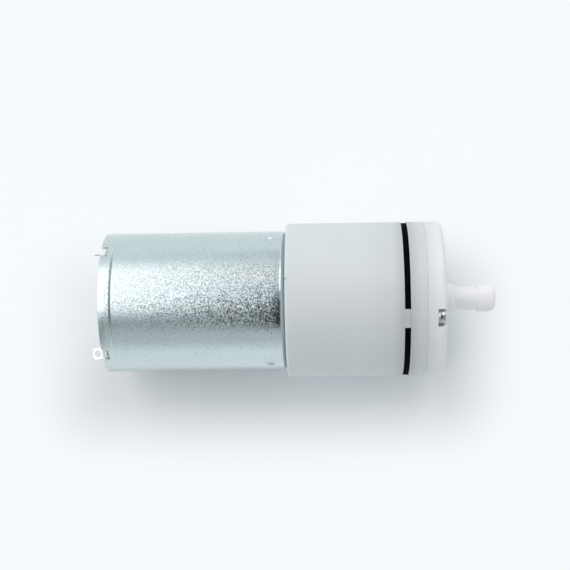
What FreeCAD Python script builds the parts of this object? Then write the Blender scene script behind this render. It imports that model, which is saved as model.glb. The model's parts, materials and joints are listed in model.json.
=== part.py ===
import FreeCAD, Part
import math
import os

# A small vacuum pump: a brushed motor that drives a round three-chamber diaphragm head.
# Sizes are millimetres. X runs along the shaft towards the nozzle, and is 0 where the front face
# of the motor meets the head. Z points up from the surface that the pump lies on.
# A clock angle is in degrees, from Z towards -Y, and a reach is a distance from the shaft's axis.

# Clearances
press_gap = 0.0
slip_gap = 0.1
shaft_gap = 0.03
pin_gap = 0.05
rubber_gap = 0.15
air_gap = 0.4
end_play = 0.2

# Motor can
can_length = 31.45
can_wall = 0.8
can_face = 0.8
can_corner = 1.0
boss_radius = 3.1
boss_height = 1.6
boss_wall = 0.7
boss_lip = 0.5
boss_chamfer = 0.3
vent_radius = 1.5
rim_wall = 0.5
seat_depth = 2.05
line_depth = 0.1
line_width = 0.5
notch_clock = 46.0
notch_width = 2.1
notch_depth = 0.87
stake_width = 1.8
stake_reach = 0.7
stake_depth = 0.6
stake_clocks = (-155.0, -100.0, 100.0, 155.0)
dimple_clocks = (-119.0, -61.0, 61.0, 119.0)
dimple_inset = 2.8
dimple_mouth_radius = 0.85
dimple_floor_radius = 0.4
dimple_depth = 0.5
dent_foot_radius = 0.95
dent_tip_radius = 0.55
dent_height = 0.5

# End bell, bushes and terminals
bell_skirt = 2.1
bell_skirt_wall = 1.1
bell_boss_radius = 3.2
bell_boss_height = 1.3
bell_boss_wall = 0.5
bell_rib_width = 1.0
bell_rib_height = 0.35
bell_window_width = 3.2
bell_window_height = 1.8
bell_window_reach = 6.2
ear_width = 1.6
ear_hold = 1.9
ear_inset = 0.1
bush_length = 2.7
terminal_clock = 50.0
terminal_sheet = 0.3
terminal_neck = 0.9
terminal_width = 2.0
terminal_length = 1.85
terminal_offset = 0.25
terminal_corner = 0.6
terminal_hole = 0.55
terminal_skew = 8.0

# Brush gear
leaf_side = 4.3
leaf_sheet = 0.2
leaf_width = 2.2
leaf_tail = 1.4
brush_width = 2.2
brush_height = 2.2

# Magnets
magnet_thickness = 2.5
magnet_margin = 2.95
magnet_span = 140.0
clip_sheet = 0.3
clip_length = 13.0
clip_leg = 1.9
clip_inset = 0.15
clip_leg_span = 1.7

# Rotor
shaft_radius = 1.0
core_radius = 8.5
shaft_chamfer = 0.2
core_front = 4.5
core_hub_radius = 3.0
pole_count = 3
pole_width = 3.4
shoe_thickness = 1.6
slot_mouth = 2.4
insulator_thickness = 0.5
insulator_inset = 0.4
coil_build = 1.7
coil_root = 3.3
coil_gap = 0.05
coil_margin = 0.3
coil_corner = 1.5
commutator_radius = 2.6
commutator_wall = 0.85
commutator_length = 5.3
commutator_slit = 8.0
commutator_flange = 0.6
commutator_flange_radius = 3.0
commutator_margin = 0.5
hook_height = 1.2
hook_width = 0.8
hook_length = 0.5
brush_film = 0.05
spacer_radius = 1.8
rear_spacer_length = 0.8

# Pump head, along the shaft
head_overhang = 1.3
housing_length = 19.9
diaphragm_thickness = 1.0
valve_plate_thickness = 2.9
cover_thickness = 3.15
edge_chamfer = 0.3
face_corner = 0.9
seam_chamfer = 0.1

# Pump housing
housing_floor = 2.0
housing_wall = 2.0
seat_wall = 1.4
edge_notch_clock = -16.0
edge_notch_width = 0.6
edge_notch_depth = 0.4
edge_notch_reach = 0.9

# Chambers and screws, three of each
chamber_count = 3
screw_clock = 13.5
screw_edge = 1.7
screw_shank = 0.85
screw_head_radius = 1.45
screw_head = 1.2
screw_length = 10.0
screw_hole_gap = 0.1
screw_hole_spare = 0.5
screw_seat_depth = 1.55
screw_recess_width = 0.4
screw_recess_length = 1.7
screw_recess_depth = 0.5
post_width = 3.16
screw_notch_width = 3.1
motor_screw_shank = 1.25
motor_screw_inset = 3.7
motor_screw_grip = 1.5
motor_screw_head_radius = 2.25
motor_screw_head = 1.6
motor_screw_recess_length = 2.6
motor_screw_recess_width = 0.6

# Wobble drive. The pin leans towards the shaft's axis and would cross it at the apex.
swash_angle = 9.0
apex_drop = 2.7
wheel_gap = 0.6
wheel_hub_radius = 3.4
wheel_hub_length = 1.6
wheel_radius = 5.0
wheel_room = 1.0
wheel_chamfer = 0.4
pin_radius = 0.9
pin_seat = 2.6
pin_root_gap = 0.4
pin_tip_below_apex = 3.0
bracket_hub_radius = 2.5
bracket_hub_foot = 6.6
bracket_hub_top = 1.8
bracket_bore_spare = 0.3
arm_foot = 4.6
arm_top = 2.8
arm_width = 3.0
arm_pad_inset = 0.2
arm_rib_width = 1.0
arm_rib_drop = 1.3

# Diaphragm and its seat
seat_thickness = 2.5
seat_land = 1.3
seat_web = 1.62
seat_hole_chamfer = 0.3
rubber_inset = 0.18
cup_wall = 0.5
cup_shoulder_drop = 2.2
cup_shoulder_step = 0.45
cup_flare = 1.7
cup_foot_thickness = 1.2
tail_radius = 0.95
tail_bulb_radius = 1.45
tail_bulb_length = 1.5
tail_tip_radius = 0.7

# Valves
sheet_thickness = 0.5
sheet_margin = 1.45
flap_radius = 1.3
flap_slit = 0.25
flap_leg = 1.1
intake_step = 2.2
outlet_inset = 1.8
port_radius = 0.6
intake_pocket_radius = 1.6
intake_pocket_depth = 1.0
manifold_depth = 1.3
manifold_centre_radius = 2.4
manifold_groove = 1.2
outlet_ring_inside = 1.6
outlet_ring_outside = 1.4
exhaust_radius = 0.6
exhaust_clock = 133.5

# Nozzle
collar_radius = 2.5
collar_height = 2.2
nozzle_radius = 2.05
nozzle_length = 9.4
barb_radius = 2.4
barb_length = 3.1
barb_round = 1.3
nozzle_bore = 1.0
collar_chamfer = 0.3

# Sizes and places that follow from the values above
magnet_bore = core_radius + air_gap
can_bore = magnet_bore + magnet_thickness
can_radius = can_bore + can_wall
head_radius = can_radius + head_overhang
rim_bore = can_radius - rim_wall
ear_root = rim_bore - ear_hold
bell_face = -can_length + stake_depth
bell_back = -can_length + seat_depth
bush_radius = boss_radius - boss_wall
front_bush_rear = boss_height - boss_lip - bush_length
rear_bush_rear = -can_length - bell_boss_height + bell_boss_wall
rear_bush_front = rear_bush_rear + bush_length
magnet_front = -dimple_inset - dent_foot_radius
magnet_length = magnet_front - magnet_margin - (bell_back + bell_skirt)
shoe_bore = core_radius - shoe_thickness
hub_rear = rear_bush_front + end_play + rear_spacer_length
segment_rear = hub_rear + commutator_margin
segment_front = segment_rear + commutator_length
hub_front = segment_front + commutator_flange
core_rear = hub_front + coil_margin + coil_build + insulator_thickness
coil_front = -core_front + insulator_thickness + coil_build
coil_rear = core_rear - insulator_thickness - coil_build
hub_bore = commutator_radius - commutator_wall
brush_middle = (segment_front + segment_rear) / 2
foot_front = bell_back + terminal_sheet
terminal_reach = can_bore - slip_gap - terminal_neck / 2
terminal_side = terminal_reach * math.sin(math.radians(terminal_clock))
terminal_height = terminal_reach * math.cos(math.radians(terminal_clock))
diaphragm_back = housing_length
valve_plate_back = diaphragm_back + diaphragm_thickness
seam = valve_plate_back + valve_plate_thickness
face = seam + cover_thickness
sheet_back = seam - sheet_thickness
manifold_top = seam + manifold_depth
nozzle_tip = face + nozzle_length
barb_start = nozzle_tip - barb_length
screw_seat = face - screw_seat_depth
seat_back = housing_length - seat_thickness
seat_bore = head_radius - seat_wall
screw_reach = head_radius - screw_edge
motor_screw_reach = can_radius - motor_screw_inset
chamber_room = head_radius - housing_wall - seat_land
chamber_spread = 2 * math.sin(math.pi / chamber_count)
seat_hole_radius = (chamber_room * chamber_spread - seat_web) / (2 + chamber_spread)
chamber_reach = chamber_room - seat_hole_radius
cup_shoulder_radius = seat_hole_radius - cup_shoulder_step
cup_foot_radius = seat_hole_radius - cup_flare
arm_pad_radius = cup_foot_radius - arm_pad_inset
intake_reach = chamber_reach - intake_step
sheet_radius = screw_reach - screw_shank - sheet_margin
outlet_reach = sheet_radius - outlet_inset
outlet_ring_inner = outlet_reach - outlet_ring_inside
outlet_ring_outer = outlet_reach + outlet_ring_outside
apex = housing_length - apex_drop
wheel_start = boss_height + wheel_gap
wheel_end = apex - bracket_hub_foot - wheel_room
pin_start = wheel_end - pin_seat
shaft_front = pin_start - pin_root_gap
motor_screw_clocks = (screw_clock + 90, screw_clock + 270)
vent_clocks = (screw_clock, screw_clock + 180)
screw_clocks = [screw_clock + 360 * i / chamber_count for i in range(chamber_count)]
chamber_clocks = [clock + 180 / chamber_count for clock in screw_clocks]
pole_clocks = [360 * i / pole_count for i in range(pole_count)]

ORIGIN = FreeCAD.Vector(0, 0, 0)
ALONG = FreeCAD.Vector(1, 0, 0)
SIDEWAYS = FreeCAD.Vector(0, 1, 0)
UP = FreeCAD.Vector(0, 0, 1)


# Shapes that many pieces share

def at(x, reach, clock):
    """The point at a station along the shaft, a reach and a clock angle."""
    turn = math.radians(clock)
    return FreeCAD.Vector(x, -reach * math.sin(turn), reach * math.cos(turn))


def turned(shape, clock):
    """A copy of a shape made at clock angle 0, turned about the shaft."""
    copy = shape.copy()
    copy.rotate(ORIGIN, ALONG, clock)
    return copy


def tilted(shape):
    """A copy of a shape made straight on the shaft, leaned about the apex like the pin."""
    copy = shape.copy()
    copy.rotate(FreeCAD.Vector(apex, 0, 0), -SIDEWAYS, swash_angle)
    return copy


def rod(start, end, radius, reach=0.0, clock=0.0):
    """A round bar along X between two stations."""
    return Part.makeCylinder(radius, end - start, at(start, reach, clock), ALONG)


def tube(start, end, outer, inner):
    """A round sleeve about the shaft."""
    return rod(start, end, outer).cut(rod(start, end, inner))


def block(start, end, side_from, side_to, low, high):
    """A square-cornered block, from its limits along X, Y and Z."""
    corner = FreeCAD.Vector(start, side_from, low)
    return Part.makeBox(end - start, side_to - side_from, high - low, corner)


def bar(start, end, width, low, high, clock):
    """A block that points away from the shaft at a clock angle."""
    return turned(block(start, end, -width / 2, width / 2, low, high), clock)


def sector(start, end, inner, outer, clock_from, clock_to):
    """A stretch of a ring about the shaft between two clock angles."""
    corners = [
        at(start, inner, clock_from),
        at(end, inner, clock_from),
        at(end, outer, clock_from),
        at(start, outer, clock_from),
    ]
    section = Part.Face(Part.makePolygon(corners + corners[:1]))
    return section.revolve(ORIGIN, ALONG, clock_to - clock_from)


def revolved(profile):
    """A solid of revolution about the shaft from (station, reach) points."""
    corners = [FreeCAD.Vector(x, 0, reach) for x, reach in profile]
    section = Part.Face(Part.makePolygon(corners + corners[:1]))
    return section.revolve(ORIGIN, ALONG, 360)


def rim_edges(shape, x, radius):
    """The full circles about the shaft at one station and radius."""
    return [
        edge
        for edge in shape.Edges
        if isinstance(edge.Curve, Part.Circle)
        and abs(edge.Curve.Radius - radius) < 1e-6
        and abs(edge.Curve.Center.x - x) < 1e-6
        and math.hypot(edge.Curve.Center.y, edge.Curve.Center.z) < 1e-6
    ]


def lug(start, end, width, outer):
    """A bar with a round inner end about a cover screw, at clock angle 0, out to a radius."""
    straight = block(start, end, -width / 2, width / 2, screw_reach, outer)
    return straight.fuse(rod(start, end, width / 2, screw_reach)).common(rod(start, end, outer))


def joined(first, others):
    """One solid from several that meet, with the seams between them gone."""
    return first.fuse(others).removeSplitter()


def slotted_head(start, end, radius, slot_length, slot_width, slot_depth, reach, clock):
    """A round screw head with a crossed recess in its outer end."""
    head = rod(start, end, radius, reach)
    for length, width in ((slot_length, slot_width), (slot_width, slot_length)):
        low = reach - length / 2
        head = head.cut(block(end - slot_depth, end, -width / 2, width / 2, low, low + length))
    return turned(head, clock)


# Motor

def motor_can():
    """Deep-drawn steel can with a bearing boss, stakes and notches at its open rear rim."""
    can = revolved([
        (-can_length, can_radius),
        (0, can_radius),
        (0, boss_radius),
        (boss_height, boss_radius),
        (boss_height, shaft_radius + 2 * slip_gap),
        (boss_height - boss_lip, shaft_radius + 2 * slip_gap),
        (boss_height - boss_lip, bush_radius),
        (-can_face, bush_radius),
        (-can_face, can_bore),
        (bell_back, can_bore),
        (bell_back, rim_bore),
        (-can_length, rim_bore),
    ])
    can = can.makeFillet(can_corner, rim_edges(can, 0, can_radius))
    can = can.makeChamfer(boss_chamfer, rim_edges(can, boss_height, boss_radius))
    line = revolved([
        (bell_back + line_width / 2, can_radius),
        (bell_back, can_radius - line_depth),
        (bell_back - line_width / 2, can_radius),
    ])
    stakes = [
        bar(-can_length, bell_face, stake_width, rim_bore - stake_reach, can_radius - can_wall / 2, clock)
        for clock in stake_clocks
    ]
    dents = [
        taper(can_bore - dent_height, can_bore, dent_tip_radius, dent_foot_radius, clock)
        for clock in dimple_clocks
    ]
    can = joined(can.cut(line), stakes + dents)
    cuts = [
        taper(
            can_radius - dimple_depth, can_radius + slip_gap,
            dimple_floor_radius, dimple_mouth_radius, clock
        )
        for clock in dimple_clocks
    ]
    for clock in (-notch_clock, notch_clock):
        cuts.append(bar(
            -can_length, -can_length + notch_depth, notch_width, ear_root, can_radius + slip_gap, clock
        ))
    for clock in motor_screw_clocks:
        cuts.append(rod(-can_face, 0, motor_screw_shank + press_gap, motor_screw_reach, clock))
    for clock in vent_clocks:
        cuts.append(rod(-can_face, 0, vent_radius, motor_screw_reach, clock))
    return can.cut(cuts)


def taper(inner, outer, inner_radius, outer_radius, clock):
    """A tapered peg that points at the shaft between two reaches, in line with the dimples."""
    foot = FreeCAD.Vector(-dimple_inset, 0, inner)
    return turned(Part.makeCone(inner_radius, outer_radius, outer - inner, foot, UP), clock)


def end_bell():
    """Moulded rear cover of the motor, with the rear bush's boss and two ears in the rim."""
    bell = rod(bell_face, bell_back, rim_bore)
    skirt_radius = can_bore - slip_gap / 2
    skirt = tube(bell_back, bell_back + bell_skirt, skirt_radius, skirt_radius - bell_skirt_wall)
    boss_rear = -can_length - bell_boss_height
    boss = rod(boss_rear, bell_back, bell_boss_radius)
    boss = boss.makeChamfer(boss_chamfer, rim_edges(boss, boss_rear, bell_boss_radius))
    ears = [
        bar(
            -can_length + ear_inset, -can_length + notch_depth, ear_width,
            ear_root, can_radius + slip_gap, clock
        ).common(rod(-can_length, bell_back, can_radius))
        for clock in (-notch_clock, notch_clock)
    ]
    rib_reach = rim_bore - stake_reach
    ribs = [
        bar(bell_face - bell_rib_height, bell_face, bell_rib_width, -rib_reach, rib_reach, clock)
        .common(rod(-can_length, bell_face, rib_reach))
        for clock in (0.0, 90.0)
    ]
    bell = joined(bell, [skirt, boss] + ears + ribs)
    bush_hole = rod(rear_bush_rear, bell_back, bush_radius + press_gap)
    windows = [
        bar(
            bell_face - bell_rib_height, bell_back, bell_window_width,
            bell_window_reach - bell_window_height / 2, bell_window_reach + bell_window_height / 2, clock
        )
        for clock in (-135.0, 135.0)
    ]
    return bell.cut([bush_hole] + windows + [terminal(1), terminal(-1)])


def bush(start):
    """Sintered bush for one end of the shaft."""
    return tube(start, start + bush_length, bush_radius, shaft_radius + shaft_gap)


def terminal(side):
    """Solder tab with a neck through the end bell and a foot that meets the brush's leaf.

    side is 1 for the left tab, which stands on edge, and -1 for the right one, which lies flat.
    """
    tab_end = -can_length - terminal_length
    half = terminal_width / 2
    sheet = terminal_sheet / 2
    root = -can_length - half * math.sin(math.radians(terminal_skew))
    tab = block(tab_end, root, -half, half, -sheet, sheet)
    tab = tab.makeFillet(terminal_corner, [edge for edge in tab.Edges if on_free_end(edge, tab_end)])
    hole_centre = FreeCAD.Vector((tab_end + root) / 2, 0, -sheet)
    tab = tab.cut(Part.makeCylinder(terminal_hole, terminal_sheet, hole_centre, UP))
    tab.rotate(FreeCAD.Vector(root, 0, 0), UP, -terminal_skew)
    tab.translate(SIDEWAYS * terminal_offset)
    neck_start = root - terminal_sheet
    neck = block(neck_start, foot_front, -terminal_neck / 2, terminal_neck / 2, -sheet, sheet)
    blade = joined(tab, [neck])
    blade.rotate(ORIGIN, ALONG, 90 if side > 0 else 180)
    blade.translate(FreeCAD.Vector(0, side * terminal_side, terminal_height))
    foot_ends = sorted((side * (leaf_side - leaf_sheet), side * (terminal_side + sheet)))
    foot = block(
        bell_back, foot_front, foot_ends[0], foot_ends[1],
        terminal_height - terminal_neck / 2, terminal_height + terminal_neck / 2
    )
    return joined(blade, [foot])


def on_free_end(edge, x):
    """Whether an edge stands upright at a station."""
    middle = edge.CenterOfMass
    return abs(middle.x - x) < 1e-6 and abs(edge.tangentAt(edge.FirstParameter).z) > 0.9


def brush_leaf(side):
    """Spring leaf that stands on the terminal's foot and presses the carbon brush inwards."""
    faces = sorted((side * leaf_side, side * (leaf_side - leaf_sheet)))
    start = brush_middle - leaf_width / 2
    strip = block(start, start + leaf_width, faces[0], faces[1], -leaf_tail, terminal_height)
    post = block(
        foot_front, brush_middle, faces[0], faces[1],
        terminal_height - terminal_neck / 2, terminal_height + terminal_neck / 2
    )
    return joined(strip, [post])


def carbon_brush(side):
    """Carbon block, hollowed to the commutator's radius."""
    faces = sorted((0, side * (leaf_side - leaf_sheet)))
    start = brush_middle - brush_width / 2
    end = brush_middle + brush_width / 2
    stone = block(start, end, faces[0], faces[1], -brush_height / 2, brush_height / 2)
    return stone.cut(rod(start, end, commutator_radius + brush_film))


def magnet(side):
    """Curved ferrite magnet that lies against the can's bore."""
    middle = -90 * side
    return sector(
        magnet_front - magnet_length, magnet_front, magnet_bore, can_bore,
        middle - magnet_span / 2, middle + magnet_span / 2
    )


def magnet_clip():
    """Spring clip that pushes the magnets apart below the rotor."""
    first = magnet_span / 2 + 90
    last = 360 - first
    outer = can_bore - clip_inset
    rear = magnet_front - (magnet_length + clip_length) / 2
    front = rear + clip_length
    back = sector(rear, front, outer - clip_sheet, outer, first, last)
    legs = [
        sector(rear, front, outer - clip_leg, outer, clock, clock + clip_leg_span)
        for clock in (first, last - clip_leg_span)
    ]
    return joined(back, legs)


# Rotor

def shaft():
    """Steel motor shaft, chamfered at both ends."""
    rear = rear_bush_rear + end_play
    bar_of_steel = rod(rear, shaft_front, shaft_radius)
    ends = rim_edges(bar_of_steel, rear, shaft_radius) + rim_edges(bar_of_steel, shaft_front, shaft_radius)
    return bar_of_steel.makeChamfer(shaft_chamfer, ends)


def pole_section(start, end, inset):
    """The three-pole outline of the core between two stations, drawn in from its rim by an inset."""
    tip = core_radius - inset
    half_mouth = math.degrees(slot_mouth / 2 / core_radius)
    half_shoe = 180 / pole_count - half_mouth
    pieces = []
    for clock in pole_clocks:
        pieces.append(bar(start, end, pole_width, 0, (shoe_bore + tip) / 2, clock))
        pieces.append(sector(start, end, shoe_bore, tip, clock - half_shoe, clock + half_shoe))
    return joined(rod(start, end, core_hub_radius), pieces).cut(rod(start, end, shaft_radius))


def rotor_core():
    """Stack of laminations with three poles."""
    return pole_section(core_rear, -core_front, 0)


def core_insulators():
    """The two insulating plates at the ends of the core."""
    front = pole_section(-core_front, -core_front + insulator_thickness, insulator_inset)
    rear = pole_section(core_rear - insulator_thickness, core_rear, insulator_inset)
    return Part.makeCompound([front, rear])


def coils():
    """Three windings, one round each pole."""
    outer = pole_width / 2 + coil_build
    inner = pole_width / 2 + coil_gap
    winding = block(coil_rear, coil_front, -outer, outer, coil_root, core_radius)
    corners = [
        edge for edge in winding.Edges if abs(edge.tangentAt(edge.FirstParameter).z) > 0.9
    ]
    winding = winding.makeFillet(coil_corner, corners)
    winding = winding.common(rod(coil_rear, coil_front, shoe_bore - coil_gap))
    hole = block(coil_rear + coil_build, coil_front - coil_build, -inner, inner, 0, core_radius)
    winding = winding.cut(hole)
    return Part.makeCompound([turned(winding, clock) for clock in pole_clocks])


def commutator_hub():
    """Moulded sleeve that carries the commutator's segments."""
    sleeve = rod(hub_rear, hub_front, hub_bore)
    flange = rod(segment_front, hub_front, commutator_flange_radius)
    return joined(sleeve, [flange]).cut(rod(hub_rear, hub_front, shaft_radius))


def commutator_segments():
    """Copper segments, each with a hook for its coil's wire."""
    half = 180 / pole_count - commutator_slit / 2
    bars = []
    for clock in pole_clocks:
        face_of_copper = sector(
            segment_rear, segment_front, hub_bore, commutator_radius, clock - half, clock + half
        )
        hook = bar(
            segment_front - hook_length, segment_front, hook_width,
            (hub_bore + commutator_radius) / 2, commutator_radius + hook_height, clock
        )
        bars.append(joined(face_of_copper, [hook]))
    return Part.makeCompound(bars)


def front_spacer():
    """Sleeve that keeps the core away from the front bush."""
    return tube(-core_front + insulator_thickness, front_bush_rear - end_play, spacer_radius, shaft_radius)


def rear_spacer():
    """Washer between the commutator and the rear bush."""
    return tube(rear_bush_front + end_play, hub_rear, spacer_radius, shaft_radius)


def eccentric_wheel():
    """Wheel on the shaft's end, with a leaning hole for the pin."""
    wheel = rod(wheel_start + wheel_hub_length, wheel_end, wheel_radius)
    edges = rim_edges(wheel, wheel_end, wheel_radius)
    edges += rim_edges(wheel, wheel_start + wheel_hub_length, wheel_radius)
    wheel = wheel.makeChamfer(wheel_chamfer, edges)
    wheel = joined(wheel, [rod(wheel_start, wheel_end, wheel_hub_radius)])
    return wheel.cut([rod(wheel_start, shaft_front, shaft_radius), pin_line(wheel_end, pin_radius)])


def pin_line(end, radius):
    """A round bar on the pin's leaning axis, from the pin's root to past a station."""
    foot = (apex - pin_start) / math.cos(math.radians(swash_angle))
    return tilted(rod(apex - foot, end + radius, radius))


def swash_pin():
    """Steel pin that leans out of the wheel into the bracket's hub."""
    foot = (apex - pin_start) / math.cos(math.radians(swash_angle))
    tip = apex - pin_tip_below_apex
    pin = rod(apex - foot, tip, pin_radius)
    pin = pin.makeChamfer(shaft_chamfer, rim_edges(pin, tip, pin_radius))
    return tilted(pin)


def swing_bracket():
    """Three-armed bracket that wobbles on the pin and works the diaphragm's cups."""
    foot = apex - arm_foot
    top = apex - arm_top
    hub = rod(apex - bracket_hub_foot, apex - bracket_hub_top, bracket_hub_radius)
    limbs = []
    holes = []
    for clock in chamber_clocks:
        limbs.append(bar(foot, top, arm_width, 0, chamber_reach, clock))
        limbs.append(rod(foot, top, arm_pad_radius, chamber_reach, clock))
        rib_end = chamber_reach - tail_bulb_radius - rubber_gap
        corners = [
            FreeCAD.Vector(foot, -arm_rib_width / 2, 0),
            FreeCAD.Vector(foot, -arm_rib_width / 2, rib_end),
            FreeCAD.Vector(foot - arm_rib_drop, -arm_rib_width / 2, bracket_hub_radius),
            FreeCAD.Vector(foot - arm_rib_drop, -arm_rib_width / 2, 0),
        ]
        rib = Part.Face(Part.makePolygon(corners + corners[:1]))
        limbs.append(turned(rib.extrude(SIDEWAYS * arm_rib_width), clock))
        holes.append(rod(foot, top, tail_radius + pin_gap, chamber_reach, clock))
    bore_end = apex - pin_tip_below_apex + bracket_bore_spare
    bore = rod(apex - bracket_hub_foot, bore_end, pin_radius + pin_gap)
    return tilted(joined(hub, limbs).cut(holes + [bore]))


# Pump head

def pump_housing():
    """Cup of the head: motor seat in its floor, three screw posts and a ledge in its bore."""
    shell = rod(0, housing_length, head_radius)
    shell = shell.makeChamfer(edge_chamfer, rim_edges(shell, 0, head_radius))
    shell = shell.cut([
        rod(housing_floor, housing_length, head_radius - housing_wall),
        rod(seat_back, housing_length, seat_bore),
    ])
    posts = [turned(lug(0, valve_plate_back, post_width, head_radius), clock) for clock in screw_clocks]
    trim = revolved([
        (0, head_radius - edge_chamfer),
        (edge_chamfer, head_radius),
        (valve_plate_back, head_radius),
        (valve_plate_back, 0),
        (0, 0),
    ])
    shell = joined(shell, [post.common(trim) for post in posts])
    cuts = [rod(0, housing_floor, boss_radius + slip_gap)]
    for clock in motor_screw_clocks:
        cuts.append(rod(0, housing_floor, motor_screw_shank + slip_gap, motor_screw_reach, clock))
    for clock in screw_clocks:
        pilot_end = screw_seat - screw_length - screw_hole_spare
        cuts.append(rod(pilot_end, valve_plate_back, screw_shank + press_gap, screw_reach, clock))
    cuts.append(bar(
        0, edge_notch_depth, edge_notch_width, head_radius - edge_notch_reach, head_radius,
        edge_notch_clock
    ))
    return shell.cut(cuts)


def motor_screws():
    """The two screws that hold the motor to the housing's floor."""
    screws = []
    for clock in motor_screw_clocks:
        shank = rod(-motor_screw_grip, housing_floor, motor_screw_shank, motor_screw_reach, clock)
        head = slotted_head(
            housing_floor, housing_floor + motor_screw_head, motor_screw_head_radius,
            motor_screw_recess_length, motor_screw_recess_width, motor_screw_head / 2,
            motor_screw_reach, clock
        )
        screws.append(joined(shank, [head]))
    return Part.makeCompound(screws)


def diaphragm_seat():
    """Plate on the housing's ledge with a hole for each cup."""
    plate = rod(seat_back, housing_length, seat_bore - slip_gap)
    cuts = []
    for clock in screw_clocks:
        cuts.append(turned(lug(seat_back, housing_length, post_width + 2 * slip_gap, head_radius), clock))
    for clock in chamber_clocks:
        hole = rod(seat_back, housing_length, seat_hole_radius, chamber_reach, clock)
        lead = Part.makeCone(
            seat_hole_radius + seat_hole_chamfer, seat_hole_radius, seat_hole_chamfer,
            at(seat_back, chamber_reach, clock), ALONG
        )
        cuts += [hole, lead]
    return plate.cut(cuts)


def circle_wire(x, radius, reach, clock):
    """A circle square to the shaft, for the cups' walls."""
    return turned(Part.Wire(Part.makeCircle(radius, at(x, reach, 0), ALONG)), clock)


def cup_body(inset, foot, mouth, clock):
    """The flaring body of one cup, between its leaning foot and its mouth."""
    rings = [
        tilted(circle_wire(foot, cup_foot_radius - inset, chamber_reach, clock)),
        circle_wire(housing_length - cup_shoulder_drop, cup_shoulder_radius - inset, chamber_reach, clock),
        circle_wire(mouth, seat_hole_radius - rubber_gap - inset, chamber_reach, clock),
    ]
    return Part.makeLoft(rings, True, True)


def diaphragm():
    """Rubber moulding: the gasket seen at the rim, and three cups with tails through the arms."""
    gasket = rod(diaphragm_back, valve_plate_back, head_radius - rubber_inset)
    notches = []
    for clock in screw_clocks:
        notches.append(
            turned(lug(diaphragm_back, valve_plate_back, post_width + 2 * slip_gap, head_radius), clock)
        )
    foot = apex - arm_top
    cups = []
    hollows = []
    for clock in chamber_clocks:
        tail = rod(apex - arm_foot, foot, tail_radius, chamber_reach, clock)
        bulb = Part.makeCone(
            tail_bulb_radius, tail_tip_radius, tail_bulb_length,
            at(apex - arm_foot, chamber_reach, clock), -ALONG
        )
        cups.append(cup_body(0, foot, diaphragm_back, clock))
        cups.append(tilted(tail.fuse(bulb)))
        hollows.append(cup_body(cup_wall, foot + cup_foot_thickness, valve_plate_back, clock))
    return gasket.cut(notches).fuse(cups).cut(hollows).removeSplitter()


def valve_plate():
    """White plate over the diaphragm, with the ports and the pockets of the intake flaps."""
    plate = rod(valve_plate_back, seam, head_radius)
    plate = plate.makeChamfer(seam_chamfer, rim_edges(plate, seam, head_radius))
    cuts = [rod(sheet_back, seam, sheet_radius + slip_gap)]
    for clock in screw_clocks:
        cuts.append(rod(valve_plate_back, seam, screw_shank + screw_hole_gap, screw_reach, clock))
    for clock in chamber_clocks:
        cuts.append(rod(valve_plate_back, seam, port_radius, intake_reach, clock))
        cuts.append(rod(valve_plate_back, seam, port_radius, outlet_reach, clock))
        cuts.append(
            rod(sheet_back - intake_pocket_depth, sheet_back, intake_pocket_radius, intake_reach, clock)
        )
    return plate.cut(cuts)


def flap_slit_shape(reach, direction, clock):
    """The U-shaped slit round a flap. direction is 1 where the flap's root is further out."""
    outer = flap_radius + flap_slit
    bow = rod(sheet_back, seam, outer, reach).cut(rod(sheet_back, seam, flap_radius, reach))
    root = sorted((reach, reach + direction * outer))
    bow = bow.cut(block(sheet_back, seam, -outer, outer, root[0], root[1]))
    leg = sorted((reach, reach + direction * flap_leg))
    legs = [
        block(sheet_back, seam, side, side + flap_slit, leg[0], leg[1])
        for side in (-outer, flap_radius)
    ]
    return turned(bow.fuse(legs).removeSplitter(), clock)


def valve_sheet():
    """Rubber sheet with an intake flap and an outlet flap for each chamber."""
    sheet = rod(sheet_back, seam, sheet_radius)
    slits = []
    for clock in chamber_clocks:
        slits.append(flap_slit_shape(intake_reach, -1, clock))
        slits.append(flap_slit_shape(outlet_reach, 1, clock))
    return sheet.cut(slits)


def nozzle_cover():
    """Top cover with the barbed nozzle in its middle and a notch for each screw's head."""
    cover = revolved([
        (seam, 0),
        (seam, head_radius),
        (face, head_radius),
        (face, collar_radius),
        (face + collar_height, collar_radius),
        (face + collar_height, nozzle_radius),
        (barb_start, nozzle_radius),
        (barb_start, barb_radius),
        (nozzle_tip, barb_radius),
        (nozzle_tip, 0),
    ])
    cover = cover.makeFillet(face_corner, rim_edges(cover, face, head_radius))
    cover = cover.makeFillet(barb_round, rim_edges(cover, nozzle_tip, barb_radius))
    cover = cover.makeChamfer(collar_chamfer, rim_edges(cover, face + collar_height, collar_radius))
    cover = cover.makeChamfer(seam_chamfer, rim_edges(cover, seam, head_radius))
    ring = tube(seam, manifold_top, outlet_ring_outer, outlet_ring_inner)
    cuts = [
        rod(seam, nozzle_tip, nozzle_bore),
        rod(seam, manifold_top, manifold_centre_radius),
        ring,
        rod(seam, face, exhaust_radius, outlet_reach, exhaust_clock),
    ]
    for clock in chamber_clocks:
        cuts.append(bar(seam, manifold_top, manifold_groove, 0, intake_reach, clock))
        cuts.append(rod(seam, manifold_top, manifold_groove / 2, intake_reach, clock))
    for clock in screw_clocks:
        notch = block(screw_seat, face, -screw_notch_width / 2, screw_notch_width / 2,
                      screw_reach, head_radius + slip_gap)
        cuts.append(turned(notch.fuse(rod(screw_seat, face, screw_notch_width / 2, screw_reach)), clock))
        cuts.append(rod(seam, screw_seat, screw_shank + screw_hole_gap, screw_reach, clock))
    return cover.cut(cuts)


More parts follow.
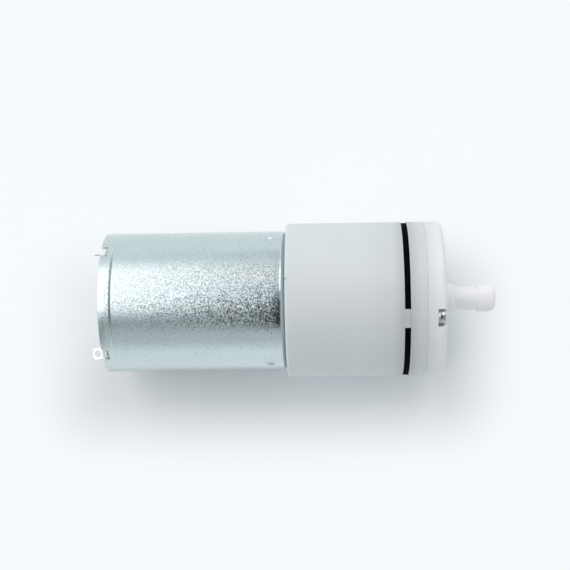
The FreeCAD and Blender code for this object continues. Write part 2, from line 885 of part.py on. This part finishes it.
def cover_screws():
    """The three screws that clamp the cover, the valve plate and the diaphragm to the posts."""
    screws = []
    for clock in screw_clocks:
        shank = rod(screw_seat - screw_length, screw_seat, screw_shank, screw_reach, clock)
        head = slotted_head(
            screw_seat, screw_seat + screw_head, screw_head_radius,
            screw_recess_length, screw_recess_width, screw_recess_depth, screw_reach, clock
        )
        screws.append(joined(shank, [head]))
    return Part.makeCompound(screws)


def pump_pieces():
    """Every piece of the pump by name."""
    return {
        "motor_can": motor_can(),
        "end_bell": end_bell(),
        "front_bush": bush(front_bush_rear),
        "rear_bush": bush(rear_bush_rear),
        "terminal_left": terminal(1),
        "terminal_right": terminal(-1),
        "brush_leaf_left": brush_leaf(1),
        "brush_leaf_right": brush_leaf(-1),
        "carbon_brush_left": carbon_brush(1),
        "carbon_brush_right": carbon_brush(-1),
        "magnet_left": magnet(1),
        "magnet_right": magnet(-1),
        "magnet_clip": magnet_clip(),
        "shaft": shaft(),
        "rotor_core": rotor_core(),
        "core_insulators": core_insulators(),
        "coils": coils(),
        "commutator_hub": commutator_hub(),
        "commutator_segments": commutator_segments(),
        "front_spacer": front_spacer(),
        "rear_spacer": rear_spacer(),
        "eccentric_wheel": eccentric_wheel(),
        "swash_pin": swash_pin(),
        "swing_bracket": swing_bracket(),
        "pump_housing": pump_housing(),
        "motor_screws": motor_screws(),
        "diaphragm_seat": diaphragm_seat(),
        "diaphragm": diaphragm(),
        "valve_plate": valve_plate(),
        "valve_sheet": valve_sheet(),
        "nozzle_cover": nozzle_cover(),
        "cover_screws": cover_screws(),
    }


def main():
    os.makedirs("parts", exist_ok=True)
    for name, shape in pump_pieces().items():
        shape.exportStep("parts/" + name + ".step")


if __name__ == "__main__":
    main()
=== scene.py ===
import json
import math

import bmesh
import bpy
from mathutils import Matrix, Vector


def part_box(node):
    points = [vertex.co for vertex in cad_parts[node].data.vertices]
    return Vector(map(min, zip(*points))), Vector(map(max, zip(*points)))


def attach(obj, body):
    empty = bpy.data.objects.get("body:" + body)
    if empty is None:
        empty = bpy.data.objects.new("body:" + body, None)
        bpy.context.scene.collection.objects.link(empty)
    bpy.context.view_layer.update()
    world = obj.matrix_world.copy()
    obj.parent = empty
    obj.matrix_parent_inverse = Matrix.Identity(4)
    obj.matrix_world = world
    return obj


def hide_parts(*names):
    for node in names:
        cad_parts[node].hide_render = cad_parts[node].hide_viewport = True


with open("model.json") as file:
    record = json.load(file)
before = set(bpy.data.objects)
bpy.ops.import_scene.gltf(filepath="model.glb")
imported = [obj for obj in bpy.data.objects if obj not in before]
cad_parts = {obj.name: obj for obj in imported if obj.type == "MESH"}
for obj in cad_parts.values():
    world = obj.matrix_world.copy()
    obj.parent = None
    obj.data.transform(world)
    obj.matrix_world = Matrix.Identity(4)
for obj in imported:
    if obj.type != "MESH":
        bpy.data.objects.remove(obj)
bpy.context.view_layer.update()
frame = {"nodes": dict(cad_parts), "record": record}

# The scene is in metres, along the shaft's frame: X towards the nozzle, Z up, and X = 0 at the motor's
# front face. Pieces are modelled in millimetres and scaled once. A clock angle is in degrees about X,
# from Z towards -Y, and a reach is a distance from the shaft's axis.

MM = 0.001
scene = bpy.context.scene
scene.view_settings.view_transform = "Standard"


def limit(node, axis, end):
    """One limit of a node's box, in millimetres: end is 0 for the lower and 1 for the upper."""
    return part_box(node)[end][axis] / MM


# Camera and table

camera_distance = 212.0 * MM
camera_lean = 0.042
aim_x = -0.42 * MM
aim_y = 2.72 * MM
image_turn = math.radians(0.8)
lens = 75.8
table_height = -13.5 * MM
table_reach = 6.0

table_normal = Vector((camera_lean, 0, 1)).normalized()


def add_camera():
    """Looks straight down on the table, turned so that the shaft rises a little to the right."""
    data = bpy.data.cameras.new("photo_camera")
    data.lens = lens
    data.sensor_width = 36.0
    data.clip_start = 0.01
    data.clip_end = 20.0
    camera = bpy.data.objects.new("photo_camera", data)
    scene.collection.objects.link(camera)
    upward = Vector((math.sin(image_turn), math.cos(image_turn), 0))
    right = upward.cross(table_normal).normalized()
    upward = table_normal.cross(right)
    place = Vector((aim_x, aim_y, 0)) + table_normal * camera_distance
    turn = Matrix((right, upward, table_normal)).transposed().to_4x4()
    camera.matrix_world = Matrix.Translation(place) @ turn
    scene.camera = camera


# Shader maths

class Value:
    """A shader socket that takes part in Python expressions."""

    def __init__(self, tree, socket):
        self.tree = tree
        self.socket = socket

    def apply(self, operation, *others, swapped=False):
        parts = [self, *others]
        if swapped:
            parts.reverse()
        return self.tree.node("ShaderNodeMath", {"operation": operation}, dict(enumerate(parts)))

    def __add__(self, other):
        return self.apply("ADD", other)

    def __radd__(self, other):
        return self.apply("ADD", other, swapped=True)

    def __sub__(self, other):
        return self.apply("SUBTRACT", other)

    def __rsub__(self, other):
        return self.apply("SUBTRACT", other, swapped=True)

    def __mul__(self, other):
        return self.apply("MULTIPLY", other)

    def __rmul__(self, other):
        return self.apply("MULTIPLY", other, swapped=True)

    def __truediv__(self, other):
        return self.apply("DIVIDE", other)

    def __pow__(self, other):
        return self.apply("POWER", other)

    def abs(self):
        return self.apply("ABSOLUTE")

    def beyond(self, bound):
        """How far the value is past a bound, or 0."""
        return (self - bound).apply("MAXIMUM", 0.0)

    def step(self, start, end, low=0.0, high=1.0):
        """A smooth change from low to high as the value goes from start to end."""
        settings = {"interpolation_type": "SMOOTHSTEP"}
        limits = {"Value": self, "From Min": start, "From Max": end, "To Min": low, "To Max": high}
        return self.tree.node("ShaderNodeMapRange", settings, limits)


class Tree:
    """A node tree in the making."""

    def __init__(self, node_tree, coordinates):
        self.node_tree = node_tree
        self.place = self.node("ShaderNodeTexCoord", {}, {}, coordinates)

    def node(self, kind, settings, inputs, output=0):
        """Adds a node, makes its settings, then fills its sockets from values or links."""
        made = self.node_tree.nodes.new(kind)
        for name, value in settings.items():
            setattr(made, name, value)
        for name, value in inputs.items():
            self.fill(made.inputs[name], value)
        return Value(self, made.outputs[output])

    def fill(self, socket, value):
        if isinstance(value, Value):
            self.node_tree.links.new(value.socket, socket)
        else:
            socket.default_value = value

    def axes(self):
        """The three coordinates."""
        split = self.node("ShaderNodeSeparateXYZ", {}, {0: self.place})
        return [Value(self, output) for output in split.socket.node.outputs]

    def blend(self, factor, first, second):
        """A colour between two colours."""
        return self.node("ShaderNodeMix", {"data_type": "RGBA"}, {0: factor, 6: first, 7: second}, 2)


class Surface(Tree):
    """A material in the making."""

    def __init__(self, name):
        self.material = bpy.data.materials.new(name)
        self.material.use_nodes = True
        self.shader = self.material.node_tree.nodes["Principled BSDF"]
        super().__init__(self.material.node_tree, "Object")
        self.lit = Value(self, self.shader.outputs[0])

    def set(self, **values):
        """Sets the shader's sockets, with an underscore for each space in a name."""
        for name, value in values.items():
            self.fill(self.shader.inputs[name.replace("_", " ")], value)
        return self

    def noise(self, size, detail):
        """Noise with features about size across, from 0 to 1."""
        inputs = {"Vector": self.place, "Scale": 1 / size, "Detail": detail}
        return self.node("ShaderNodeTexNoise", {}, inputs)

    def vector(self, operation, *parts):
        """Vector maths on values or constants."""
        return self.node("ShaderNodeVectorMath", {"operation": operation}, dict(enumerate(parts)))

    def facets(self, size, tilt):
        """Leans the surface at random, cell by cell, like the spangles of a plated skin."""
        inputs = {"Vector": self.place, "Scale": 1 / size, "Randomness": 1.0}
        cells = self.node("ShaderNodeTexVoronoi", {"feature": "F1"}, inputs, 1)
        lean = self.vector("MULTIPLY", self.vector("SUBTRACT", cells, (0.5,) * 3), (tilt,) * 3)
        normal = self.node("ShaderNodeNewGeometry", {}, {}, "Normal")
        return self.set(Normal=self.vector("NORMALIZE", self.vector("ADD", normal, lean)))

    def lift(self, share):
        """Draws what the camera and mirrors see of the surface towards a cool white, by a share."""
        nodes = self.material.node_tree.nodes
        ray = nodes.new("ShaderNodeLightPath")
        seen = Value(self, ray.outputs["Is Camera Ray"]) + Value(self, ray.outputs["Is Glossy Ray"])
        white = self.node("ShaderNodeEmission", {}, {"Color": cool_white, "Strength": 1.0})
        mixed = self.node("ShaderNodeMixShader", {}, {0: seen * share, 1: self.lit, 2: white})
        self.node_tree.links.new(mixed.socket, nodes["Material Output"].inputs["Surface"])

    def bump(self, height, distance):
        """Relief of a height from 0 to 1 over a distance in metres."""
        return self.set(Normal=self.node("ShaderNodeBump", {}, {"Height": height, "Distance": distance}))


def tone(red, green, blue):
    """A colour for a socket."""
    return (red, green, blue, 1.0)


cool_white = tone(0.955, 0.99, 1.0)


# Finishes

can_rim = limit("motor_can", 0, 0)
line_station = can_rim + 2.05
black_line_width = 1.0
black_line = limit("valve_plate", 0, 0) - black_line_width / 2
seam = limit("valve_plate", 0, 1)
nozzle_end = limit("nozzle_cover", 0, 1)

spangle_size = 0.13
spangle_tilt = 0.1


def zinc_plate():
    """Bright zinc: fine tilted spangles, a few dull spots, and a rear line with painted shade on its upper
    side and a painted paler tone elsewhere.
    """
    steel = Surface("zinc_plate")
    along, across, upward = steel.axes()
    patch = steel.noise(2.6 * MM, detail=2.0)
    fleck = steel.noise(0.5 * MM, detail=1.0).step(0.6, 0.75)
    speck = steel.noise(0.4 * MM, detail=0.0).step(0.76, 0.82)
    # The rear line's colour is painted light and shade. All round it is paler, against the groove's own
    # shade. On its upper side, towards the window, a painted shade stands in for the dark reflection in the
    # groove.
    line = (along / MM - line_station).abs().step(0.12, 0.3, 1.0, 0.0)
    groove_shade_side = (across.apply("ARCTAN2", upward) - 0.2).abs().step(0.35, 0.6, 1.0, 0.0)
    spots_and_painted_groove_shade = fleck * 0.12 + speck * 0.3 + line * groove_shade_side * 0.5
    hue = steel.blend(patch, tone(0.56, 0.65, 0.655), tone(0.62, 0.71, 0.72))
    # Painted light: the rear line is paler all round.
    hue = steel.blend(line * 0.2, hue, tone(0.8, 0.88, 0.89))
    # Dull spots that the zinc has, and the rear line's painted shade on its upper side.
    hue = steel.blend(spots_and_painted_groove_shade, hue, tone(0.2, 0.23, 0.24))
    steel.set(Base_Color=hue, Metallic=1.0, Roughness=0.14 + 0.05 * patch + 0.08 * fleck)
    steel.facets(spangle_size * MM, spangle_tilt)
    return steel.material


milk_depth = 0.8
satin_relief = 0.004


def milky_plastic(name, bright, dull, glow, *tints):
    """Translucent white moulding with a fine satin skin.

    A tint is a station, the distances from it where it is full and gone, its full share, and its hue.
    """
    plastic = Surface(name)
    along, across, upward = plastic.axes()
    cloud = plastic.noise(7.0 * MM, detail=1.0)
    skin = plastic.noise(0.25 * MM, detail=2.0)
    hue = plastic.blend(cloud, bright, dull)
    for station, full, gone, share, tint in tints:
        hue = plastic.blend((along / MM - station).abs().step(full, gone, share, 0.0), hue, tint)
    plastic.set(Base_Color=hue, Roughness=0.4 + 0.12 * skin)
    plastic.set(Subsurface_Weight=glow, Subsurface_Radius=(1.0, 1.0, 1.0), Subsurface_Scale=milk_depth * MM)
    plastic.bump(skin, satin_relief * MM)
    return plastic.material


grain_relief = 0.04


def grainy(name, first, second, metallic, low, high, size, gloss=0.5):
    """Two tones in clouds, with a grain that sets the roughness and a slight relief."""
    made = Surface(name)
    cloud = made.noise(size * MM * 6, detail=2.0)
    grain = made.noise(size * MM, detail=3.0)
    made.set(Base_Color=made.blend(cloud, tone(*first), tone(*second)), Metallic=metallic)
    made.set(Roughness=low + (high - low) * grain, Specular_IOR_Level=gloss)
    made.bump(grain, size * MM * grain_relief)
    return made.material


# Per finish: two tones, how metallic it is, the least and the most roughness, the grain's size in
# millimetres, and the gloss where it isn't the usual one.

GRAINS = {
    "black_rubber": ((0.001, 0.001, 0.001), (0.003, 0.003, 0.003), 0.0, 0.7, 0.9, 0.1, 0.03),
    "tinned_brass": ((0.97, 0.98, 0.98), (0.93, 0.94, 0.94), 1.0, 0.25, 0.45, 0.15),
    "screw_steel": ((0.5, 0.5, 0.52), (0.6, 0.6, 0.62), 1.0, 0.15, 0.25, 0.12),
    "sintered_bronze": ((0.45, 0.32, 0.17), (0.3, 0.22, 0.12), 1.0, 0.45, 0.7, 0.08),
    "spring_bronze": ((0.72, 0.46, 0.25), (0.62, 0.4, 0.22), 1.0, 0.25, 0.4, 0.2),
    "carbon": ((0.02, 0.02, 0.021), (0.04, 0.036, 0.034), 0.0, 0.5, 0.8, 0.06),
    "ferrite": ((0.035, 0.034, 0.036), (0.06, 0.058, 0.06), 0.0, 0.6, 0.8, 0.1),
    "spring_steel": ((0.32, 0.32, 0.34), (0.42, 0.42, 0.43), 1.0, 0.25, 0.4, 0.2),
    "ground_steel": ((0.6, 0.61, 0.62), (0.68, 0.69, 0.7), 1.0, 0.12, 0.25, 0.05),
    "lamination_steel": ((0.3, 0.32, 0.36), (0.4, 0.42, 0.45), 1.0, 0.35, 0.55, 0.1),
    "insulator": ((0.03, 0.12, 0.07), (0.05, 0.16, 0.1), 0.0, 0.4, 0.5, 0.2),
    "enamelled_copper": ((0.5, 0.17, 0.06), (0.62, 0.24, 0.1), 1.0, 0.2, 0.35, 0.1),
    "dark_moulding": ((0.02, 0.018, 0.018), (0.035, 0.03, 0.03), 0.0, 0.35, 0.5, 0.15),
    "copper": ((0.75, 0.38, 0.24), (0.82, 0.46, 0.3), 1.0, 0.15, 0.3, 0.08),
}

# The head darkens towards the black line, and the cover towards the seam. On both, the seam's edge is
# painted paler, a painted light that cancels the shade in the seam.

seam_painted_light = (seam, 0.1, 0.2, 0.3, tone(0.97, 0.97, 0.97))

FINISHES = {name: grainy(name, *values) for name, values in GRAINS.items()}
FINISHES["zinc_steel"] = zinc_plate()
FINISHES["head_plastic"] = milky_plastic(
    "head_plastic", tone(0.665, 0.72, 0.735), tone(0.695, 0.745, 0.76), 0.35,
    (black_line, black_line_width / 2, 9.0, 0.12, tone(0.3, 0.31, 0.34)),
    (black_line, black_line_width / 2, 2.6, 0.3, tone(0.3, 0.3, 0.34)),
    seam_painted_light
)
FINISHES["cover_plastic"] = milky_plastic(
    "cover_plastic", tone(0.8, 0.83, 0.84), tone(0.83, 0.86, 0.87), 0.55,
    (nozzle_end, 8.6, 9.4, 1.0, tone(0.96, 0.97, 0.975)),
    (seam, 0.1, 2.2, 0.2, tone(0.4, 0.4, 0.43)),
    seam_painted_light
)
FINISHES["white_nylon"] = milky_plastic(
    "white_nylon", tone(0.84, 0.85, 0.84), tone(0.87, 0.88, 0.87), 0.2
)
FINISHES["white_acetal"] = milky_plastic(
    "white_acetal", tone(0.82, 0.82, 0.8), tone(0.86, 0.86, 0.84), 0.2
)

slot_of_node = {part["node"]: part["material_slot"] for part in frame["record"]["subparts"]}


def dress_cad_nodes():
    """Gives every carried-over node the finish of its slot in the record."""
    for name, node in frame["nodes"].items():
        node.data.materials.clear()
        node.data.materials.append(FINISHES[slot_of_node[name]])


# Modelling in millimetres

crease = math.radians(32)


def finished(shape, name, material):
    """An object in metres from a bmesh in millimetres, smooth but for its sharp edges."""
    bmesh.ops.scale(shape, vec=(MM, MM, MM), verts=shape.verts)
    mesh = bpy.data.meshes.new(name)
    shape.to_mesh(mesh)
    shape.free()
    mesh.shade_smooth()
    mesh.set_sharp_from_angle(angle=crease)
    mesh.materials.append(material)
    made = bpy.data.objects.new(name, mesh)
    scene.collection.objects.link(made)
    weighted = made.modifiers.new("flat_faces_stay_flat", "WEIGHTED_NORMAL")
    weighted.keep_sharp = True
    return made


def stand_in(shape, name, node):
    """Finishes a piece and puts it in place of the node of its own."""
    made = finished(shape, name, FINISHES[slot_of_node[node]])
    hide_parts(node)
    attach(made, "pump")


def clock_of(point):
    """A point's clock angle in degrees."""
    return math.degrees(math.atan2(-point.y, point.z))


def spun(profile, rounding, steps):
    """Turns (station, reach) points about the shaft. rounding gives corners a radius by their index."""
    shape = bmesh.new()
    verts = [shape.verts.new((x, 0, reach)) for x, reach in profile]
    for pair in zip(verts, verts[1:]):
        shape.edges.new(pair)
    for index, (size, segments) in rounding.items():
        bmesh.ops.bevel(
            shape, geom=[verts[index]], offset=size, segments=segments,
            affect="VERTICES", profile=0.5, material=-1
        )
    bmesh.ops.spin(
        shape, geom=shape.verts[:] + shape.edges[:], cent=(0, 0, 0), axis=(1, 0, 0),
        angle=2 * math.pi, steps=steps, use_merge=True
    )
    bmesh.ops.remove_doubles(shape, verts=shape.verts, dist=1e-4)
    bmesh.ops.recalc_face_normals(shape, faces=shape.faces)
    return shape


def ease_edges(shape, width, segments):
    """A small bevel on every sharp edge."""
    sharp = [edge for edge in shape.edges if len(edge.link_faces) == 2 and edge.calc_face_angle() > crease]
    bmesh.ops.bevel(
        shape, geom=sharp, offset=width, segments=segments, affect="EDGES", profile=0.5,
        material=-1, clamp_overlap=True
    )


def softened_copy(node, width, segments):
    """A copy of a node in millimetres, with its flat faces merged and its sharp edges eased."""
    shape = bmesh.new()
    shape.from_mesh(frame["nodes"][node].data)
    bmesh.ops.scale(shape, vec=(1 / MM, 1 / MM, 1 / MM), verts=shape.verts)
    bmesh.ops.remove_doubles(shape, verts=shape.verts, dist=1e-4)
    bmesh.ops.dissolve_limit(
        shape, angle_limit=math.radians(0.5), verts=shape.verts, edges=shape.edges
    )
    ease_edges(shape, width, segments)
    return shape


# Motor can

can_columns = 360
can_radius = limit("motor_can", 1, 1)
can_corner = 0.9
can_sheet = 0.5
sheet_ease = 0.06
boss_radius = 3.1
boss_height = 1.6
boss_bore = 1.2
boss_root = 0.25
boss_edge = 0.3
line_width = 0.3
line_depth = 0.14
notch_clock = 46.6
notch_half_width = 5.2
notch_depth = 1.15
dimple_station = -2.8
dimple_clocks = (-119.0, -61.0, 61.0, 119.0)
dimple_radius = 0.75
dimple_depth = 0.42
dimple_lip = 0.05
lip_share = 1.08
lip_width = 0.12
lip_end = 1.4


def motor_can():
    """Drawn can with a rolled front corner, a stepped line, two rim notches and four dimples."""
    shape = spun([
        (can_rim, can_radius),
        (can_rim + notch_depth, can_radius),
        (line_station - line_width, can_radius),
        (line_station - line_width / 2, can_radius),
        (line_station, can_radius - line_depth),
        (line_station + line_width / 2, can_radius),
        (line_station + line_width, can_radius),
        (dimple_station - 2 * dimple_radius, can_radius),
        (dimple_station + dimple_radius, can_radius),
        (0, can_radius),
        (0, boss_radius),
        (boss_height, boss_radius),
        (boss_height, boss_bore),
    ], {9: (can_corner, 8), 10: (boss_root, 3), 11: (boss_edge, 3)}, can_columns)
    cut_rim_notches(shape)
    for clock in dimple_clocks:
        press_dimple(shape, clock)
    bmesh.ops.recalc_face_normals(shape, faces=shape.faces)
    bmesh.ops.solidify(shape, geom=shape.faces, thickness=can_sheet)
    ease_edges(shape, sheet_ease, 2)
    stand_in(shape, "motor_can_shell", "motor_can")


def cut_rim_notches(shape):
    """Takes the two notches out of the rear rim."""
    gone = []
    for face in shape.faces:
        middle = face.calc_center_median()
        if middle.x < can_rim + notch_depth and abs(abs(clock_of(middle)) - notch_clock) < notch_half_width:
            gone.append(face)
    bmesh.ops.delete(shape, geom=gone, context="FACES")


def press_dimple(shape, clock):
    """Presses a shallow round dimple with a slightly raised edge into the skin."""
    turn = math.radians(clock)
    centre = Vector((dimple_station, -can_radius * math.sin(turn), can_radius * math.cos(turn)))
    near = [
        face for face in shape.faces
        if (face.calc_center_median() - centre).length < 2.5 * dimple_radius and abs(face.normal.x) < 0.2
    ]
    edges = {edge for face in near for edge in face.edges}
    long_edges = [edge for edge in edges if abs((edge.verts[0].co - edge.verts[1].co).x) > 0.5]
    bmesh.ops.subdivide_edges(shape, edges=long_edges, cuts=17, use_grid_fill=True)
    for vert in shape.verts:
        share = (vert.co - centre).length / dimple_radius
        if share > lip_end:
            continue
        ridge = dimple_lip * math.exp(-((share - lip_share) / lip_width) ** 2)
        bowl = dimple_depth * (1 - share ** 2) ** 0.7 if share < 1 else 0.0
        inward = Vector((0, -vert.co.y, -vert.co.z)).normalized()
        vert.co += inward * (bowl - ridge)


# Surroundings

shadow_middle = (-4.0, -8.5)
shadow_half = (32.0, 8.5)
shadow_fade = 16.0
far_lift = 0.85


def add_table():
    """A wide table top that touches the lower side of the head, with a painted light: a white glow that the
    camera and mirrors see, growing away from the shadow.
    """
    paper = Surface("table_white")
    cloud = paper.noise(60 * MM, detail=1.0)
    paper.set(Base_Color=paper.blend(cloud, tone(0.88, 0.93, 0.95), tone(0.9, 0.95, 0.965)))
    paper.set(Roughness=0.9 + 0.05 * cloud)
    along, across, upward = paper.axes()
    # Painted light: the glow's share is nought over the shadow's area and grows outside it, so the shadow's
    # falloff is partly painted.
    beside = (along / MM - shadow_middle[0]).abs().beyond(shadow_half[0])
    below = (across / MM - shadow_middle[1]).abs().beyond(shadow_half[1])
    away = (beside * beside + below * below) ** 0.5
    paper.lift(away.step(0.0, shadow_fade, 0.0, far_lift))
    shape = bmesh.new()
    bmesh.ops.create_grid(shape, x_segments=1, y_segments=1, size=table_reach / MM)
    lean = Vector((0, 0, 1)).rotation_difference(table_normal).to_matrix().to_4x4()
    low = Matrix.Translation((0, 0, table_height / MM))
    bmesh.ops.transform(shape, matrix=low @ lean, verts=shape.verts)
    finished(shape, "table_top", paper.material)


# The room is what the can mirrors. Lean is an angle about X in radians, from straight up towards +Y, and
# along is a direction's share of X. The camera sees the can mirror from -0.19 along at its rear to -0.05
# at its front.

room_level = 0.98
wall_hue = tone(0.92, 0.97, 1.0)
window_hue = tone(1.0, 0.965, 0.975)
shade_hue = tone(0.95, 0.955, 0.98)
curtain_hue = tone(0.5, 0.76, 1.0)


def window_light(along):
    """What the window adds to the room: most at the rear, and less than nothing at the front."""
    fall = along.step(-0.2, 0.0, 0.82, -0.16) - along.step(-0.8, -0.5, 0.56, 0.0)
    return fall - along.step(-0.085, -0.045, 0.0, 0.45)


def lamp_light(along):
    """A narrow lamp beyond the front end, which lights the can's rolled corner."""
    return along.step(0.06, 0.12, 0.0, 2.0) - along.step(0.24, 0.45, 0.0, 1.6)


def shade_below(along, lean):
    """How dark the room is below the window: low down, and more so at the front, rear and sides."""
    front = along.step(-0.13, -0.03, 0.0, 0.8) - along.step(0.1, 0.25, 0.0, 0.55)
    rear = along.step(-0.4, -0.3) * along.step(-0.215, -0.185, 0.4, 0.0)
    sides = along.step(-0.4, -0.2, 0.18, 0.0) + along.step(0.2, 0.4, 0.0, 0.08)
    low = lean.step(-1.6, -1.1) * lean.step(-0.9, -0.5, 0.32, 0.22)
    return low + (front + rear) * lean.step(-0.95, -0.6) + sides


def add_room():
    """A pale room with a bright window on the +Y side, a lamp at the front and a dark patch below."""
    world = bpy.data.worlds.new("room")
    scene.world = world
    world.use_nodes = True
    room = Tree(world.node_tree, "Generated")
    along, across, upward = room.axes()
    lean = across.apply("ARCTAN2", upward)
    edge = lean - along.step(-0.2, -0.02, -0.28, 0.3)
    window = edge.step(-0.25, 0.2) * lean.step(0.9, 1.35, 1.0, 0.0)
    front = along.step(-0.1, -0.05) * along.step(0.0, 0.1, 1.0, 0.0)
    above = front * lean.step(1.1, 1.4) * lean.step(2.2, 2.8, 1.0, 0.0)
    shade = edge.step(-0.35, 0.25, 1.0, 0.0) * shade_below(along, lean) + above * 0.28
    curtain = front * (edge + 0.02).abs().step(0.12, 0.35, 1.0, 0.0)
    hue = room.blend(window, wall_hue, window_hue)
    hue = room.blend(curtain, room.blend(shade, hue, shade_hue), curtain_hue)
    background = world.node_tree.nodes["Background"]
    room.fill(background.inputs["Color"], hue)
    light = room_level + window * (window_light(along) + lamp_light(along)) - shade
    room.fill(background.inputs["Strength"], light)


fine_ease = 0.05
moulded_ease = 0.09

add_camera()
add_room()
add_table()
dress_cad_nodes()
motor_can()
for node in ("end_bell", "terminal_left", "terminal_right", "cover_screws"):
    stand_in(softened_copy(node, fine_ease, 2), node + "_eased", node)
for node in ("pump_housing", "valve_plate", "nozzle_cover"):
    stand_in(softened_copy(node, moulded_ease, 3), node + "_eased", node)
